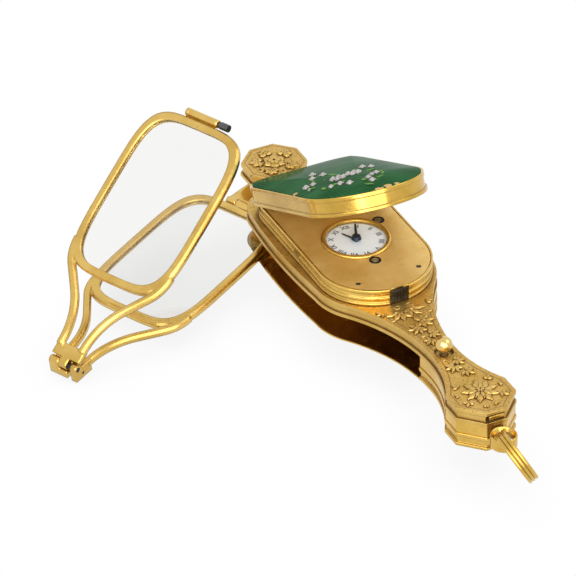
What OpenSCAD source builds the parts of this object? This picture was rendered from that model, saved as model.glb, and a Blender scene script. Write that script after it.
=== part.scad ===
// Folding lorgnette with a watch hidden under an enamelled lid.
// The handle is a flat case of three layers. A pair of lenses folds into the slot between
// the layers, and swings out of it on a post at the far end, like the blade of a penknife.
// Millimetres, +Z up, +Y along the handle from the bow to the lens pivot. The origin is on
// the flat back of the case, halfway along it.

/* [Case] */
// Length of the case without its eyelet and bow
case_len = 93.6; // [92:0.2:98]
// Thickness of the back shell at the ends
back_h = 2.85; // [2.6:0.05:3.1]
// Thickness of the middle layer
spine_h = 2.45; // [2.4:0.05:2.7]
// Thickness of the upper shell
upper_h = 2.7; // [2.4:0.05:3.2]
// Floor of the lens slot
floor_t = 0.4; // [0.3:0.05:0.45]
// Half the width of the end facet by the bow
end_half = 2; // [2:0.05:2.3]
// Half the width of the octagon by the bow
head_half = 5.9; // [5.5:0.1:6.4]
// Length of the cut corners of that octagon
head_chamfer = 4; // [3.2:0.1:4.4]
// Half the width of the long neck
neck_half = 2.5; // [2.3:0.1:2.9]
// Distance from the end facet to the thinnest place of the long neck
neck_at = 20.5; // [19:0.5:21.5]
// Radius of the hollow between octagon and neck
head_hollow_r = 24; // [22:1:27]
// Radius of the round shoulder by the watch
shoulder_r = 11.5; // [11.4:0.1:11.9]
// Distance from the end facet to the centre of that shoulder
shoulder_at = 47.35; // [46.5:0.25:48]
// Half the width of the case halfway along the watch
waist_half = 12.25; // [12.2:0.05:12.8]
// Distance from the end facet to the far corners of the watch section
far_corner_at = 74.4; // [74:0.1:75]
// Radius of those corners
far_corner_r = 5.5; // [5:0.25:6]
// Half the width of the short neck
far_neck_half = 4.2; // [4.2:0.05:4.6]
// Radius of the hollow of the short neck
far_hollow_r = 2.6; // [2.4:0.1:2.8]
// Radius over the corners of the far octagon
medallion_r = 6.3; // [6.2:0.1:6.6]
// Depth of the hollow moulding round the sides
cove_d = 0.35; // [0.15:0.05:0.45]

/* [Lens slot] */
// Distance from the end facet to the closed end of the slot
slot_end_at = 24.1; // [23.5:0.1:25]
// Wall that closes the slot on the right
slot_wall = 0.4; // [0.3:0.05:0.45]

/* [Watch] */
// Radius of the round end of the watch plate
plate_r = 10.25; // [10:0.05:10.3]
// Thickness of the watch plate
plate_t = 0.8; // [0.6:0.05:1]
// Height of the watch plate over the rim of the case
plate_rise = 3.15; // [3:0.05:3.15]
// Width of the rim round the watch plate
plate_rim = 0.4; // [0.35:0.05:0.45]
// Radius of the enamel dial
dial_r = 5.7; // [5.4:0.1:5.9]
// Distance of the dial's centre from the shoulder's centre
dial_at = 6.6; // [6.2:0.1:7]
// Outer radius of the dial's ring
ring_r = 6.4; // [6.3:0.05:6.6]
// Length of the minute hand
minute_len = 4.6; // [4:0.1:5]
// Length of the hour hand
hour_len = 3.3; // [2.8:0.1:3.6]
// Minutes shown in the photograph, after eleven o'clock
shown_minutes = 4; // [0:1:8]
// Width over the flats of the winding squares
square_w = 0.7; // [0.6:0.05:0.8]
// Radius of the holes round the winding squares
arbor_hole_r = 0.75; // [0.7:0.05:0.9]

/* [Lid] */
// Outer radius of the round end of the lid
lid_r = 11.4; // [11.35:0.05:11.5]
// Height of the gold wall of the lid
lid_wall_h = 3.4; // [3.4:0.05:3.6]
// Thickness of that wall
lid_wall = 0.55; // [0.5:0.01:0.56]
// Distance from the end facet to the lid's hinge
lid_hinge_at = 77.9; // [77.8:0.1:78.3]
// Radius of the two corners of the lid by its hinge
lid_corner_r = 6; // [5:0.25:6.5]
// Rise of the enamel from its edge to the middle
crown = 1.15; // [1.1:0.05:1.3]
// Thickness of the enamel panel
enamel_t = 0.7; // [0.6:0.05:0.75]
// Angle at which the lid stands in the photograph
lid_angle = 25.8; // [20:1:35]

/* [Lenses] */
// Distance from the bridge to the swing post
reach = 60.3; // [60:0.1:60.5]
// Half the length of a lens, to the middle of its rim
lens_half_l = 16.1; // [15.8:0.1:16.2]
// Half the width of a lens, to the middle of its rim
lens_half_w = 10.95; // [10.6:0.05:11]
// Squareness of the lens outline, where 2 is an ellipse
lens_power = 4.5; // [4:0.1:5]
// Distance from the bridge to the middle of a lens
lens_at = 33.3; // [33.1:0.1:33.4]
// Width of the lens rims
rim_w = 1.5; // [1.2:0.05:1.5]
// Thickness of the lens rims
rim_t = 1.5; // [1.3:0.05:1.5]
// Distance between the two lens planes when folded together
lens_pitch = 1.6; // [1.6:0.01:1.65]
// Thickness of the glass
glass_t = 0.7; // [0.5:0.05:0.8]
// Distance from the bridge to the barrel beside the rim
barrel_at = 51.15; // [51:0.05:51.25]
// Radius of that barrel
barrel_r = 0.75; // [0.65:0.01:0.75]
// Width of the bridge block
bridge_w = 6.2; // [6:0.1:6.6]
// Height of the bridge block
bridge_h = 2.4; // [2:0.1:2.6]
// Angle of the lenses away from their folded place
swing_angle = 64.6; // [64.5:0.1:70]
// Angle by which the lenses hang down
droop_angle = 8.6; // [8:0.1:8.7]
// Angle between the two lenses
fold_angle = 28; // [27:0.5:32]

/* [Button, bow and bars] */
// Radius of the button's ball
ball_r = 1.53; // [1.3:0.05:1.6]
// Outer radius of the eyelet
eyelet_r = 2.4; // [2.3:0.05:2.6]
// Radius to the middle of the bow
bow_r = 4.7; // [4.5:0.1:5.2]
// Width of the bow's band
bow_w = 2; // [1.8:0.05:2.05]
// Angle by which the bow leans to the left
bow_lean = 30; // [20:1:31]
// Length of the sliding bar in the end facet
bar_len = 2.8; // [2.4:0.1:3]

/* [Hidden] */

$fn = 72;
eps = 0.01;
arc_steps = 10;
play = 0.05;       // running clearance of pins and hubs
gap = 0.1;         // clearance between flat moving faces

near_y = -case_len / 2;
neck_y = near_y + neck_at;
watch_y = near_y + shoulder_at;
far_corner_y = near_y + far_corner_at;
top_z = back_h + spine_h + upper_h;
slot_top = back_h + spine_h;
slot_end_y = near_y + slot_end_at;

// The hollow beyond the neck touches the round shoulder.
neck_to_watch = watch_y - neck_y;
shoulder_hollow_r = (neck_half * neck_half + neck_to_watch * neck_to_watch - shoulder_r * shoulder_r)
    / (2 * (shoulder_r - neck_half));
head_cut = atan2(head_chamfer, head_half - end_half);
side_chord = far_corner_y - watch_y;
side_rise = waist_half - shoulder_r;
side_r = (side_chord * side_chord / 4 + side_rise * side_rise) / (2 * side_rise);
far_corner_x = shoulder_r - far_corner_r;
far_hollow_x = far_neck_half + far_hollow_r;
far_hollow_y = far_corner_y + sqrt(pow(far_corner_r + far_hollow_r, 2) - pow(far_hollow_x - far_corner_x, 2));
medallion_flat = medallion_r * cos(22.5);
pivot_y = -near_y - medallion_flat;

// Watch parts
plate_z = top_z + plate_rise;
plate_under = plate_z - plate_t;
shell_floor = 0.5;
cavity_z = slot_top + shell_floor;
rim_lip = 0.05;
platform_r = plate_r + 0.05 + plate_rim;
platform_seat = 0.6;
dial_y = watch_y + dial_at;
dial_z = plate_z - 0.3;
dial_t = 0.4;
ring_h = 0.45;
hour_z = dial_z + 0.15;
minute_z = hour_z + 0.3;
hand_t = 0.15;
boss_r = 0.95;
boss_top = plate_z + 0.75;
post_r = 0.3;
wind_x = 6.3;
wind_y = dial_y + 3.7;
set_y = dial_y - 7.5;
screw_x = 6;
screw_y = watch_y - 6.1;
screw_r = 0.5;
minute_turn = -shown_minutes * 6;
hour_turn = 30 - shown_minutes / 2;

// Lid parts
lid_y = near_y + lid_hinge_at;
lid_z = top_z + 0.15;
knuckle_r = 0.7;
pin_r = 0.35;
lid_far_y = lid_y - knuckle_r - play;
plate_far_y = lid_far_y - lid_wall - 0.4 - plate_rim;
knuckle_half = 2.4;
knuckle_out = 6.6;
shelf_w = 0.5;
shelf_h = 0.25;
enamel_in = lid_wall;
enamel_r = lid_r - enamel_in;
enamel_far_y = lid_far_y - enamel_in;
enamel_len = enamel_far_y - watch_y;
enamel_base = 0.15;
dome_r = (enamel_r * enamel_r + crown * crown) / (2 * crown);
slope_r = (enamel_len * enamel_len + crown * crown) / (2 * crown);
crown_z = lid_wall_h + enamel_base + crown;

// Catch of the lid, button and end bar
catch_w = 3.5;
catch_h = 2.4;
catch_travel = 0.4;
catch_z = top_z + 0.05 + catch_travel;
button_y = neck_y - 0.6;
button_rise = 1.45;
well_r = 1.75;
well_d = 0.6;
stem_r = 0.7;
stem_len = 1.4;
bar_travel = 0.6;
bar_h = 0.7;
bar_d = 1.6;
bar_slot_h = 1.5;
bar_slot_z = slot_top + 0.65;

// Lens parts
arm_z = floor_t + 0.6 + 1.9;
bridge_front = -0.8;
bridge_back = 3.4;
half_pitch = lens_pitch / 2;
groove_d = 0.4;
edge_in = 0.25;
edge_h = 0.3;
arm_w = 1.4;
arm_bend_r = 15;
arm_bend = 39;
arm_start = 3.5;
arm_start_v = 2.5;
arm_back_r = 8;
arm_end_v = lens_half_w - 0.2;
tongue_from = -1;
tongue_to = 0.8;
slit_from = 0.85;
slit_to = 1.85;
bridge_barrel_r = 0.8;
bridge_pin_r = 0.5;
leaf_from = 0.95;
leaf_t = 0.95;
spring_u = 1.15;
spring_z = 1.5;
spring_hole_r = 0.3;
tab_half = 1.5;
barrel_half = 3.7;
hub_r = 4;
hub_t = 1.5;
post_core = 2;
arm_t = 1;
bolt_r = 0.45;
bolt_out = 2.4;
bolt_travel = 0.5;
tube_from = -4.2;
tube_to = 3;

// Eyelet and bow
eyelet_half_h = 1.2;
eyelet_hole = 1.65;
eyelet_flare = 2.17;
eyelet_y = near_y - eyelet_r;
eyelet_z = 3.6;
bow_t = 0.95;
bow_droop = 7;
reeds = 3;

function arc(cx, cy, r, from, to) =
    [for (i = [0:arc_steps]) let (a = from + (to - from) * i / arc_steps) [cx + r * cos(a), cy + r * sin(a)]];

// Right half of the case outline, drawn in by inset all round
function case_half(inset) =
    let (hollow_x = neck_half + head_hollow_r,
        head_r = head_hollow_r + inset,
        head_from = -acos((head_half - inset - hollow_x) / head_r),
        shoulder_x = neck_half + shoulder_hollow_r,
        touch = atan2(neck_to_watch, -shoulder_x),
        side_half = asin(side_chord / 2 / side_r),
        far_touch = atan2(far_hollow_y - far_corner_y, far_hollow_x - far_corner_x),
        far_r = far_hollow_r + inset,
        vertex_r = medallion_r - inset / cos(22.5),
        far_to = acos((vertex_r * cos(22.5) - far_hollow_x) / far_r))
    concat(
        [[end_half - inset * tan(head_cut / 2), near_y + inset],
        [head_half - inset, near_y + head_chamfer + inset * tan((90 - head_cut) / 2)]],
        arc(hollow_x, neck_y, head_r, head_from, -180),
        arc(shoulder_x, neck_y, shoulder_hollow_r + inset, 180, touch),
        arc(0, watch_y, shoulder_r - inset, touch - 180, 0),
        arc(waist_half - side_r, (watch_y + far_corner_y) / 2, side_r - inset, -side_half, side_half),
        arc(far_corner_x, far_corner_y, far_corner_r - inset, 0, far_touch),
        arc(far_hollow_x, far_hollow_y, far_r, far_touch + 180, far_to),
        [for (a = [-22.5:45:67.5]) [vertex_r * cos(a), pivot_y + vertex_r * sin(a)]]);

module case_outline(inset) {
    half = case_half(inset);
    count = len(half);
    polygon(concat(half, [for (i = [1:count]) [-half[count - i][0], half[count - i][1]]]));
}

module case_layer(from, to, inset) {
    translate([0, 0, from]) linear_extrude(to - from) case_outline(inset);
}

// Outline of the watch parts: a half round towards the bow, two round corners by the hinge
module watch_outline(r, far) {
    corner_r = lid_corner_r - lid_r + r;
    translate([0, watch_y]) circle(r);
    translate([-r, watch_y]) square([2 * r, far - corner_r - watch_y]);
    translate([corner_r - r, watch_y]) square([2 * (r - corner_r), far - watch_y]);
    for (side = [-1, 1]) translate([side * (r - corner_r), far - corner_r]) circle(corner_r);
}

module watch_block(r, far, from, to) {
    translate([0, 0, from]) linear_extrude(to - from) watch_outline(r, far);
}

// Everything on the right of the line x = 0 between two distances along the case
module right_side(from_y, to_y, from_z, to_z) {
    translate([0, from_y, from_z]) cube([waist_half + 1, to_y - from_y, to_z - from_z]);
}

module back_shell() {
    color("goldenrod") difference() {
        union() {
            case_layer(0, 0.25, 0.3);
            case_layer(0.25, 0.8, 0);
            case_layer(0.8, 2.1, cove_d);
            case_layer(2.1, back_h, 0);
        }
        // The slot takes everything beyond its closed end but the right wall.
        difference() {
            translate([-waist_half - 1, slot_end_y, floor_t]) cube([2 * waist_half + 2, case_len, back_h]);
            difference() {
                right_side(slot_end_y - 1, far_corner_y, 0, back_h + 1);
                translate([0, 0, -eps]) case_layer(0, back_h + 2, cove_d + slot_wall);
            }
        }
    }
}

module spine() {
    color("goldenrod") difference() {
        case_layer(back_h, slot_top, 0.15);
        difference() {
            translate([-waist_half - 1, slot_end_y, 0]) cube([2 * waist_half + 2, case_len, top_z]);
            difference() {
                right_side(slot_end_y - 1, far_corner_y, 0, top_z);
                case_layer(0, top_z, slot_wall);
            }
        }
    }
}

module upper_shell() {
    trough_r = knuckle_r + gap + play;
    difference() {
        color("gold") union() {
            case_layer(slot_top, slot_top + 0.65, 0);
            case_layer(slot_top + 0.65, top_z - 0.7, cove_d);
            case_layer(top_z - 0.7, top_z, 0.1);
            case_knuckles();
        }
        color("gold") watch_block(plate_r, plate_far_y, cavity_z, top_z + 1);
        // Dark well between the hinge and the far octagon
        color("saddlebrown") difference() {
            translate([-waist_half, lid_y + knuckle_r + 1.4, top_z - 1.6]) cube([2 * waist_half, 6, 2]);
            translate([0, pivot_y, 0]) rotate([0, 0, 22.5]) cylinder(r = medallion_r - 0.2, h = top_z + 1, $fn = 8);
        }
        // Room for the lid's own knuckle
        color("gold") translate([-knuckle_half - gap, lid_y, lid_z]) rotate([0, 90, 0])
            cylinder(r = trough_r, h = 2 * (knuckle_half + gap));
        color("gold") translate([0, lid_y, lid_z]) rotate([0, 90, 0])
            cylinder(r = pin_r, h = 2 * knuckle_out + 1, center = true);
        color("gold") translate([0, button_y, slot_top - 1]) cylinder(r = stem_r + play, h = upper_h + 2);
        color("gold") translate([0, button_y, top_z - well_d]) cylinder(r = well_r, h = well_d + 1);
        // Slot of the sliding bar
        color("saddlebrown") translate([-bar_len / 2 - bar_travel, near_y - 1, bar_slot_z])
            cube([bar_len + bar_travel + play, bar_d + 1.3, bar_slot_h]);
    }
}

module case_knuckles() {
    for (side = [-1, 1]) translate([side * (knuckle_half + knuckle_out) / 2, lid_y, lid_z])
        difference() {
            union() {
                rotate([0, 90, 0]) cylinder(r = knuckle_r, h = knuckle_out - knuckle_half, center = true);
                translate([0, 0, -(lid_z - top_z) / 2 - 0.1])
                    cube([knuckle_out - knuckle_half, 2 * knuckle_r, lid_z - top_z + 0.2], center = true);
            }
            rotate([0, 90, 0]) cylinder(r = pin_r, h = knuckle_out, center = true);
        }
}

module swing_post() {
    color("gold") translate([0, pivot_y, 0]) {
        translate([0, 0, floor_t]) cylinder(r = post_core, h = slot_top - floor_t);
        translate([0, 0, floor_t]) cylinder(r = post_core + 0.8, h = arm_z - hub_t / 2 - gap - floor_t);
        translate([0, 0, arm_z + hub_t / 2 + gap]) cylinder(r = post_core + 0.8, h = slot_top - arm_z - hub_t / 2 - gap);
    }
}

module platform() {
    seat_r = plate_r - platform_seat;
    color("goldenrod") difference() {
        union() {
            watch_block(plate_r - play, plate_far_y - play, cavity_z, top_z);
            watch_block(platform_r, plate_far_y + plate_rim, top_z, top_z + 0.5);
            watch_block(platform_r - 0.25, plate_far_y + plate_rim - 0.25, top_z + 0.5, top_z + 1.1);
            watch_block(platform_r, plate_far_y + plate_rim, top_z + 1.1, top_z + 1.7);
            watch_block(platform_r - 0.25, plate_far_y + plate_rim - 0.25, top_z + 1.7, plate_z - 0.6);
            watch_block(platform_r, plate_far_y + plate_rim, plate_z - 0.6, plate_z + rim_lip);
        }
        watch_block(seat_r, plate_far_y - platform_seat, cavity_z - 1, plate_z + 1);
        watch_block(plate_r + 0.05, plate_far_y + 0.05, plate_under, plate_z + 1);
        // Recess of the lid's catch
        translate([-catch_w / 2 - gap, watch_y - platform_r - 1, top_z - 1])
            cube([catch_w + 2 * gap, 1 + plate_rim, plate_rise + 2]);
        // Small slot in the left wall
        translate([-platform_r - 1, watch_y + 8.3, top_z + 1.15]) cube([2, 2.4, 0.5]);
    }
}

// Barrel and bars of the movement, closed in under the plate
module movement() {
    bar_gap = 0.3;
    color("darkgoldenrod") difference() {
        union() {
            translate([0, 0, cavity_z]) linear_extrude(0.8) watch_outline(plate_r - platform_seat - bar_gap, plate_far_y - 1);
            translate([0, dial_y + 12, cavity_z]) cylinder(r = 5.5, h = plate_under - cavity_z - bar_gap);
            translate([-3.2, screw_y - 1, cavity_z]) cube([6.4, 2.4, plate_under - cavity_z]);
        }
        for (p = [[0, dial_y], [wind_x, wind_y], [0, set_y]]) translate([p[0], p[1], cavity_z - 1])
            cylinder(r = post_r + play, h = 20);
    }
}

module watch_plate() {
    color("goldenrod") difference() {
        watch_block(plate_r, plate_far_y, plate_under, plate_z);
        translate([0, dial_y, 0]) cylinder(r = dial_r + play, h = plate_z + 1);
        translate([wind_x, wind_y, 0]) cylinder(r = arbor_hole_r, h = plate_z + 1);
        translate([0, set_y, 0]) cylinder(r = arbor_hole_r, h = plate_z + 1);
        for (side = [-1, 1]) translate([side * screw_x, screw_y, 0]) cylinder(r = screw_r, h = plate_z + 1);
    }
}

module plate_screws() {
    for (side = [-1, 1]) color("darkslategray") translate([side * screw_x, screw_y, 0]) difference() {
        translate([0, 0, plate_under]) cylinder(r = screw_r, h = plate_t - 0.15);
        translate([-screw_r, -0.08, plate_z - 0.35]) cube([2 * screw_r, 0.16, 1]);
    }
}

module dial() {
    color("white") translate([0, dial_y, dial_z - dial_t]) difference() {
        cylinder(r = dial_r, h = dial_t);
        translate([0, 0, -1]) cylinder(r = 0.45, h = 3);
    }
}

module dial_ring() {
    color("gold") translate([0, dial_y, 0]) rotate_extrude() polygon([
        [dial_r - 0.2, dial_z], [dial_r, dial_z], [dial_r, plate_z], [ring_r, plate_z],
        [ring_r - 0.1, plate_z + ring_h * 0.6], [ring_r - 0.35, plate_z + ring_h],
        [dial_r + 0.05, plate_z + ring_h], [dial_r - 0.2, plate_z + ring_h * 0.6]]);
}

// A straight tapered hand that points to the top of the dial before it is turned
module hand(length, wide, narrow, hole) {
    linear_extrude(hand_t) difference() {
        union() {
            polygon([[-wide / 2, 0], [wide / 2, 0], [narrow / 2, length - 0.3], [0, length], [-narrow / 2, length - 0.3]]);
            circle(0.6);
        }
        circle(hole);
    }
}

module hour_hand() {
    color("darkslateblue") translate([0, dial_y, hour_z]) rotate([0, 0, hour_turn])
        hand(hour_len, 0.34, 0.2, post_r + play);
}

// Minute hand with the tall steel boss in the middle of the dial and its staff
module minute_hand() {
    color("darkslateblue") translate([0, dial_y, 0]) rotate([0, 0, minute_turn]) {
        translate([0, 0, minute_z]) hand(minute_len, 0.55, 0.4, post_r - eps);
        translate([0, 0, minute_z]) cylinder(r1 = boss_r, r2 = boss_r - 0.2, h = boss_top - minute_z);
        translate([0, 0, cavity_z]) cylinder(r = post_r, h = minute_z - cavity_z + eps);
    }
}

// Staff with a square end for the key
module key_arbor() {
    square_len = 1.1;
    translate([0, 0, cavity_z]) cylinder(r = post_r, h = plate_z - square_len - cavity_z);
    translate([-square_w / 2, -square_w / 2, plate_z - square_len]) cube([square_w, square_w, square_len - 0.15]);
}

module winding_arbor() {
    color("slategray") translate([wind_x, wind_y, 0]) key_arbor();
}

module setting_arbor() {
    color("slategray") translate([0, set_y, 0]) key_arbor();
}

module lid_pin() {
    color("gold") translate([0, lid_y, lid_z]) rotate([0, 90, 0])
        cylinder(r = pin_r, h = 2 * knuckle_out, center = true);
}

// Places the lid's pieces, drawn closed with their lower edge at z = 0, at the shown angle
module on_lid() {
    translate([0, lid_y, lid_z]) rotate([-lid_angle, 0, 0]) translate([0, -lid_y, 0]) children();
}

module lid_rim() {
    far = lid_far_y;
    color("gold") on_lid() {
        difference() {
            union() {
                watch_block(lid_r, far, 0, 0.6);
                watch_block(lid_r - 0.3, far - 0.05, 0.6, lid_wall_h - 0.75);
                watch_block(lid_r - 0.1, far, lid_wall_h - 0.75, lid_wall_h);
            }
            watch_block(lid_r - lid_wall, far - lid_wall, -1, lid_wall_h - shelf_h);
            watch_block(lid_r - lid_wall - shelf_w, far - lid_wall - shelf_w, -1, lid_wall_h + 1);
        }
        difference() {
            union() {
                translate([0, lid_y, 0]) rotate([0, 90, 0])
                    cylinder(r = knuckle_r, h = 2 * knuckle_half - 2 * gap, center = true);
                translate([-knuckle_half + gap, far - 0.1, 0.05]) cube([2 * knuckle_half - 2 * gap, lid_y - far + 0.1, 0.6]);
            }
            translate([0, lid_y, 0]) rotate([0, 90, 0]) cylinder(r = pin_r + play, h = 2 * knuckle_out, center = true);
        }
    }
}

// A dome over the round end that runs on as a vault, cut by a wide arch down to the hinge
module pillow(r, far, from, top) {
    intersection() {
        watch_block(r, far, from, top + 1);
        translate([0, watch_y, top - dome_r]) {
            sphere(r = dome_r, $fn = 720);
            rotate([-90, 0, 0]) cylinder(r = dome_r, h = case_len, $fn = 720);
        }
        translate([0, watch_y, top - slope_r]) rotate([0, 90, 0])
            cylinder(r = slope_r, h = 4 * case_len, center = true, $fn = 1440);
    }
}

module lid_enamel() {
    color("darkgreen") on_lid() difference() {
        pillow(enamel_r, enamel_far_y, lid_wall_h, crown_z);
        pillow(enamel_r - shelf_w, enamel_far_y - shelf_w, lid_wall_h - 1, crown_z - enamel_t);
        stone_cups();
    }
}

function sagitta(r, d) = r - sqrt(r * r - d * d);

// Height of the enamel above the lid's lower edge, at a place measured from the shoulder's centre
function enamel_z(x, y) = crown_z - max(sagitta(dome_r, norm([x, min(0, y)])), sagitta(slope_r, max(0, y)));

// Single stones and leaves of the spray: across and along from the shoulder's centre, and radius
stones = [
    [-3.3, 13.8, 0.7], [-2.7, 10.3, 0.7], [-5, 10, 0.65], [-8.2, 5.7, 0.7], [-6.8, 5.6, 0.6],
    [-8.7, 3.1, 0.4], [-6.3, -1.3, 0.55], [-4.6, -1.7, 0.65], [-3.5, -3.4, 0.7], [3.9, 7.5, 0.65],
    [5, 6.1, 0.6], [2.6, -1.5, 0.6], [1.4, -2.2, 0.5], [0.1, -3.6, 0.6], [-0.2, -5.9, 0.65]];
// Middles of the two large flowers
flowers = [[-2.9, 3.1], [0.3, 3.5]];
petals = 6;
petal_r = 0.6;
petal_ring = 1.1;
gems = concat(stones, [for (f = flowers) [f[0], f[1], 0.45]],
    [for (f = flowers, i = [1:petals]) [f[0] + petal_ring * cos(360 * i / petals),
        f[1] + petal_ring * sin(360 * i / petals), petal_r]]);

module stone_cups() {
    for (g = gems) translate([g[0], watch_y + g[1], enamel_z(g[0], g[1]) - 0.2])
        cylinder(r = g[2], h = 0.4, $fn = 24);
}

module lid_settings() {
    color("silver") on_lid() stone_cups();
}

module lid_stones() {
    color("white") on_lid() for (g = gems)
        translate([g[0], watch_y + g[1], enamel_z(g[0], g[1]) + 0.2])
            cylinder(r1 = g[2] * 0.85, r2 = g[2] * 0.25, h = g[2] * 0.5, $fn = 8);
}

// Ribbed steel catch let into the round end of the platform
module lid_catch() {
    ribs = 6;
    pitch = catch_w / ribs;
    color("dimgray") translate([0, watch_y, catch_z]) difference() {
        cylinder(r = platform_r + 0.08, h = catch_h);
        translate([-platform_r - 1, -platform_r + plate_rim - play, -1]) cube([2 * platform_r + 2, 2 * platform_r, catch_h + 2]);
        for (side = [0, 1]) mirror([side, 0, 0]) translate([catch_w / 2, -platform_r - 1, -1])
            cube([platform_r, platform_r, catch_h + 2]);
        for (i = [1:ribs - 1]) translate([i * pitch - catch_w / 2 - 0.08, -platform_r - 1, -1]) cube([0.16, 1.08, catch_h + 2]);
    }
}

module button() {
    color("gold") translate([0, button_y, top_z + button_rise]) {
        sphere(r = ball_r);
        translate([0, 0, -ball_r - stem_len]) cylinder(r = stem_r, h = stem_len + 0.4);
    }
}

// Bar that slides to the left in the slot of the end facet
module lock_bar() {
    color("gold") translate([-bar_len / 2, near_y + 0.15, bar_slot_z + bar_slot_h - bar_h - 0.3])
        cube([bar_len, bar_d, bar_h]);
}

module eyelet() {
    color("gold") translate([0, eyelet_y, eyelet_z]) difference() {
        union() {
            rotate_extrude() polygon([
                [eyelet_hole, -0.3], [eyelet_flare, -eyelet_half_h], [eyelet_r - 0.15, -eyelet_half_h],
                [eyelet_r, -eyelet_half_h + 0.3], [eyelet_r, eyelet_half_h - 0.3],
                [eyelet_r - 0.15, eyelet_half_h], [eyelet_flare, eyelet_half_h], [eyelet_hole, 0.3]]);
            translate([-1.3, eyelet_hole + 0.6, -0.9]) cube([2.6, near_y - eyelet_y - eyelet_hole - 0.6, 1.8]);
        }
        translate([0, 0, -5]) cylinder(r = eyelet_hole, h = 10);
    }
}

// Three-reeded ring through the eyelet
module bow() {
    reed_r = bow_w / reeds / 2;
    color("gold") translate([0, eyelet_y, eyelet_z]) rotate([bow_droop, 0, 0]) rotate([0, -bow_lean, 0])
        translate([0, -bow_r, 0]) rotate([0, 90, 0]) rotate_extrude() {
            translate([bow_r - bow_t / 2, -bow_w / 2]) square([bow_t - reed_r, bow_w]);
            for (i = [0:reeds - 1]) translate([bow_r + bow_t / 2 - reed_r, (i - (reeds - 1) / 2) * 2 * reed_r]) circle(reed_r, $fn = 24);
        }
}

// Frame of the swinging pieces: x across the lens, y from the bridge to the post
module on_swing() {
    translate([0, pivot_y, arm_z]) rotate([0, 0, -swing_angle]) translate([0, -reach, 0]) children();
}

// Frame of the lower lens, which hangs down from the barrel
module on_lens_a() {
    on_swing() translate([0, barrel_at, 0]) rotate([droop_angle, 0, 0]) translate([0, -barrel_at, 0]) children();
}

// Frame of the upper lens, which stands up from the bridge
module on_lens_b() {
    on_lens_a() translate([0, 0, half_pitch]) rotate([fold_angle, 0, 0]) translate([0, 0, half_pitch]) children();
}

module across(x_from, x_to, y, z, r) {
    translate([x_from, y, z]) rotate([0, 90, 0]) cylinder(r = r, h = x_to - x_from);
}

module swivel_arm() {
    color("goldenrod") on_swing() difference() {
        union() {
            translate([0, reach, -hub_t / 2]) cylinder(r = hub_r, h = hub_t);
            translate([-barrel_half, barrel_at, -arm_t / 2]) cube([2 * barrel_half, reach - barrel_at, arm_t]);
            across(-barrel_half, barrel_half, barrel_at, 0, barrel_r);
        }
        translate([0, reach, -hub_t]) cylinder(r = post_core + play, h = 2 * hub_t);
        translate([-tab_half - gap, barrel_at - 2, -2]) cube([2 * (tab_half + gap), 2 + barrel_r + gap, 4]);
        across(-barrel_half - 1, barrel_half + 1, barrel_at, 0, pin_r);
    }
}

module barrel_pin() {
    color("gold") on_swing() across(-barrel_half, barrel_half, barrel_at, 0, pin_r);
}

function power(value, p) = sign(value) * pow(abs(value), 2 / p);

module lens_outline(inset) {
    polygon([for (a = [0:5:355]) [(lens_half_w - inset) * power(sin(a), lens_power),
        lens_at + (lens_half_l - inset) * power(cos(a), lens_power)]]);
}

module lens_plate(inset, thick) {
    translate([0, 0, -thick / 2]) linear_extrude(thick) lens_outline(inset);
}

// Quarter-like bend of an arm from a point where it runs along +Y, turning towards +X
module arm_curve(r, angle, half_w) {
    translate([r, 0]) intersection() {
        difference() {
            circle(r + half_w, $fn = 144);
            circle(r - half_w, $fn = 144);
        }
        polygon([[0, 0], [-2 * r, 0], [-2 * r, 2 * r * tan(angle / 2)], [-2 * r * cos(angle), 2 * r * sin(angle)]]);
    }
}

// Arm from the bridge to the side of the lens: a bend outwards, a straight run, and a bend back
module bridge_arm(half_w, thick) {
    turn_v = arm_bend_r * (1 - cos(arm_bend));
    turn_u = arm_bend_r * sin(arm_bend);
    back_v = arm_back_r * (1 - cos(arm_bend));
    run = (arm_end_v - arm_start_v - turn_v - back_v) / sin(arm_bend);
    translate([arm_start_v, 0, -thick / 2]) linear_extrude(thick) {
        translate([-half_w, bridge_back - 0.6]) square([2 * half_w, arm_start - bridge_back + 0.6 + eps]);
        translate([0, arm_start]) {
            arm_curve(arm_bend_r, arm_bend, half_w);
            translate([turn_v, turn_u]) rotate(-arm_bend) {
                translate([-half_w, -eps]) square([2 * half_w, run + 2 * eps]);
                translate([0, run]) mirror([1, 0]) arm_curve(arm_back_r, arm_bend, half_w);
            }
        }
    }
}

// Rim with two arms, in the plane z = 0 of its own lens
module lens_rim() {
    difference() {
        union() {
            lens_plate(-rim_w / 2, rim_t - 2 * edge_h);
            lens_plate(edge_in - rim_w / 2, rim_t);
            for (side = [0, 1]) mirror([side, 0, 0]) {
                bridge_arm(arm_w / 2, rim_t - 2 * edge_h);
                bridge_arm(arm_w / 2 - edge_in, rim_t);
            }
        }
        lens_plate(rim_w / 2, rim_t + 2);
        lens_plate(rim_w / 2 - groove_d, glass_t);
    }
}

module lens_glass() {
    lens_plate(rim_w / 2 - groove_d, glass_t);
}

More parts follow.
